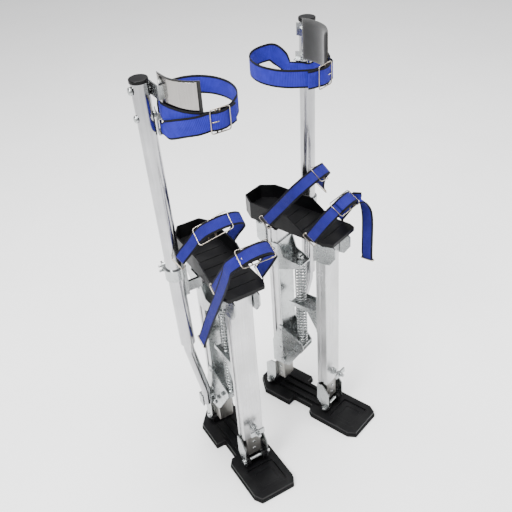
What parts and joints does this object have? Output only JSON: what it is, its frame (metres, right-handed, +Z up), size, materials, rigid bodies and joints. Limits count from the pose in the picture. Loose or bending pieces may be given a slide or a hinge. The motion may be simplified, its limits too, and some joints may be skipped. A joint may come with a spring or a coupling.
{
  "type": "drywall stilts",
  "caption": "Adjustable drywall stilts: sprung parallelogram struts on waisted floor plates, telescoping legs, strapped shoe trays and side tubes with calf supports.",
  "frame": {"origin": "on the floor, midway between the two stilts, under the centre of their bounding box", "axes": "+Z up, -Y toward the toes, +X toward the wearer's left"},
  "size_m": [0.4372, 0.3174, 0.957],
  "materials": {
    "strut_aluminium": "satin anodised extrusion",
    "inner_aluminium": "mill finish",
    "polished_aluminium": "polished sheet",
    "zinc_steel": "bright zinc plate",
    "spring_steel": "zinc-plated wire",
    "buckle_steel": "nickel-plated steel",
    "black_plastic": "fine moulded grain",
    "sole_rubber": "matt moulded rubber",
    "black_foam": "soft foam with knitted face",
    "blue_webbing": "woven webbing with black edges"
  },
  "bodies": {
    "right_foot": {"right_sole_tread": "sole_rubber", "right_floor_plate": "black_plastic"},
    "right_rear_leg": {"right_rear_inner_strut": "inner_aluminium", "right_rear_foot_bracket": "zinc_steel"},
    "right_front_leg": {"right_front_inner_strut": "inner_aluminium", "right_front_foot_bracket": "zinc_steel"},
    "right_rear_strut": {"right_rear_outer_strut": "strut_aluminium", "right_rear_top_bracket": "zinc_steel", "right_spring_bracket": "zinc_steel", "right_lower_spring": "spring_steel", "right_upper_spring": "spring_steel", "right_lower_side_tube": "strut_aluminium", "right_tube_clamps": "zinc_steel"},
    "right_front_strut": {"right_front_outer_strut": "strut_aluminium", "right_front_top_bracket": "zinc_steel", "right_front_height_bolt": "zinc_steel", "right_spring_arm": "zinc_steel"},
    "right_platform": {"right_shoe_platform": "black_plastic", "right_instep_strap": "blue_webbing", "right_toe_strap": "blue_webbing", "right_foot_strap_hardware": "buckle_steel"},
    "right_spring_collar": {"right_spring_collar": "zinc_steel"},
    "right_upper_tube": {"right_upper_side_tube": "strut_aluminium", "right_tube_cap": "black_plastic", "right_strap_loop": "zinc_steel"},
    "right_calf_support": {"right_calf_bracket": "zinc_steel", "right_calf_plate": "polished_aluminium", "right_calf_pad": "black_foam", "right_calf_strap": "blue_webbing", "right_calf_buckle": "buckle_steel"},
    "left_foot": {"left_sole_tread": "sole_rubber", "left_floor_plate": "black_plastic"},
    "left_rear_leg": {"left_rear_inner_strut": "inner_aluminium", "left_rear_foot_bracket": "zinc_steel"},
    "left_front_leg": {"left_front_inner_strut": "inner_aluminium", "left_front_foot_bracket": "zinc_steel"},
    "left_rear_strut": {"left_rear_outer_strut": "strut_aluminium", "left_rear_top_bracket": "zinc_steel", "left_spring_bracket": "zinc_steel", "left_lower_spring": "spring_steel", "left_upper_spring": "spring_steel", "left_lower_side_tube": "strut_aluminium", "left_tube_clamps": "zinc_steel"},
    "left_front_strut": {"left_front_outer_strut": "strut_aluminium", "left_front_top_bracket": "zinc_steel", "left_front_height_bolt": "zinc_steel", "left_spring_arm": "zinc_steel"},
    "left_platform": {"left_shoe_platform": "black_plastic", "left_instep_strap": "blue_webbing", "left_toe_strap": "blue_webbing", "left_foot_strap_hardware": "buckle_steel"},
    "left_spring_collar": {"left_spring_collar": "zinc_steel"},
    "left_upper_tube": {"left_upper_side_tube": "strut_aluminium", "left_tube_cap": "black_plastic", "left_strap_loop": "zinc_steel"},
    "left_calf_support": {"left_calf_bracket": "zinc_steel", "left_calf_plate": "polished_aluminium", "left_calf_pad": "black_foam", "left_calf_strap": "blue_webbing", "left_calf_buckle": "buckle_steel"}
  },
  "joints": [
    {"name": "stilt_spacing", "type": "slide", "parent": "right_foot", "child": "left_foot", "axis": [1, 0, 0], "range_m": [0, 0.15]},
    {"name": "right_sway", "type": "hinge", "parent": "right_foot", "child": "right_rear_leg", "pos_m": [-0.09707, 0.1152, 0.032], "axis": [0.9848, -0.1736, 0], "range_deg": [-12, 12], "stiffness_Nm_per_rad": 400},
    {"name": "right_front_sway", "type": "hinge", "parent": "right_foot", "child": "right_front_leg", "pos_m": [-0.12693, -0.05418, 0.032], "axis": [0.9848, -0.1736, 0], "range_deg": [-12, 12]},
    {"name": "right_height", "type": "slide", "parent": "right_rear_leg", "child": "right_rear_strut", "axis": [0, 0, 1], "range_m": [0, 0.23]},
    {"name": "right_front_height", "type": "slide", "parent": "right_front_leg", "child": "right_front_strut", "axis": [0, 0, 1], "range_m": [0, 0.23]},
    {"name": "right_platform_tilt", "type": "hinge", "parent": "right_rear_strut", "child": "right_platform", "pos_m": [-0.09707, 0.1152, 0.52], "axis": [0.9848, -0.1736, 0], "range_deg": [-12, 12]},
    {"name": "right_collar_travel", "type": "slide", "parent": "right_rear_strut", "child": "right_spring_collar", "axis": [0, 0, 1], "range_m": [-0.037, 0.037], "deforming": ["right_lower_spring", "right_upper_spring"]},
    {"name": "right_calf_height", "type": "slide", "parent": "right_rear_strut", "child": "right_upper_tube", "axis": [-0.0263, 0.0046, 0.9996], "range_m": [0, 0.12]},
    {"name": "right_calf_tilt", "type": "hinge", "parent": "right_upper_tube", "child": "right_calf_support", "pos_m": [-0.1965, 0.07892, 0.928], "axis": [0.9848, -0.1736, 0], "range_deg": [-6, 6]},
    {"name": "left_sway", "type": "hinge", "parent": "left_foot", "child": "left_rear_leg", "pos_m": [0.09707, 0.1152, 0.032], "axis": [0.9848, 0.1736, 0], "range_deg": [-12, 12], "stiffness_Nm_per_rad": 400},
    {"name": "left_front_sway", "type": "hinge", "parent": "left_foot", "child": "left_front_leg", "pos_m": [0.12693, -0.05418, 0.032], "axis": [0.9848, 0.1736, 0], "range_deg": [-12, 12]},
    {"name": "left_height", "type": "slide", "parent": "left_rear_leg", "child": "left_rear_strut", "axis": [0, 0, 1], "range_m": [0, 0.23]},
    {"name": "left_front_height", "type": "slide", "parent": "left_front_leg", "child": "left_front_strut", "axis": [0, 0, 1], "range_m": [0, 0.23]},
    {"name": "left_platform_tilt", "type": "hinge", "parent": "left_rear_strut", "child": "left_platform", "pos_m": [0.09707, 0.1152, 0.52], "axis": [0.9848, 0.1736, 0], "range_deg": [-12, 12]},
    {"name": "left_collar_travel", "type": "slide", "parent": "left_rear_strut", "child": "left_spring_collar", "axis": [0, 0, 1], "range_m": [-0.037, 0.037], "deforming": ["left_lower_spring", "left_upper_spring"]},
    {"name": "left_calf_height", "type": "slide", "parent": "left_rear_strut", "child": "left_upper_tube", "axis": [0.0263, 0.0046, 0.9996], "range_m": [0, 0.12]},
    {"name": "left_calf_tilt", "type": "hinge", "parent": "left_upper_tube", "child": "left_calf_support", "pos_m": [0.1965, 0.07892, 0.928], "axis": [0.9848, 0.1736, 0], "range_deg": [-6, 6]}
  ],
  "couplings": [
    {"joint": "right_front_sway", "follows": "right_sway", "ratio": 1},
    {"joint": "right_front_height", "follows": "right_height", "ratio": 1},
    {"joint": "right_platform_tilt", "follows": "right_sway", "ratio": -1},
    {"joint": "right_collar_travel", "follows": "right_sway", "m_per_rad": 0.171},
    {"joint": "left_front_sway", "follows": "left_sway", "ratio": 1},
    {"joint": "left_front_height", "follows": "left_height", "ratio": 1},
    {"joint": "left_platform_tilt", "follows": "left_sway", "ratio": -1},
    {"joint": "left_collar_travel", "follows": "left_sway", "m_per_rad": 0.171}
  ]
}
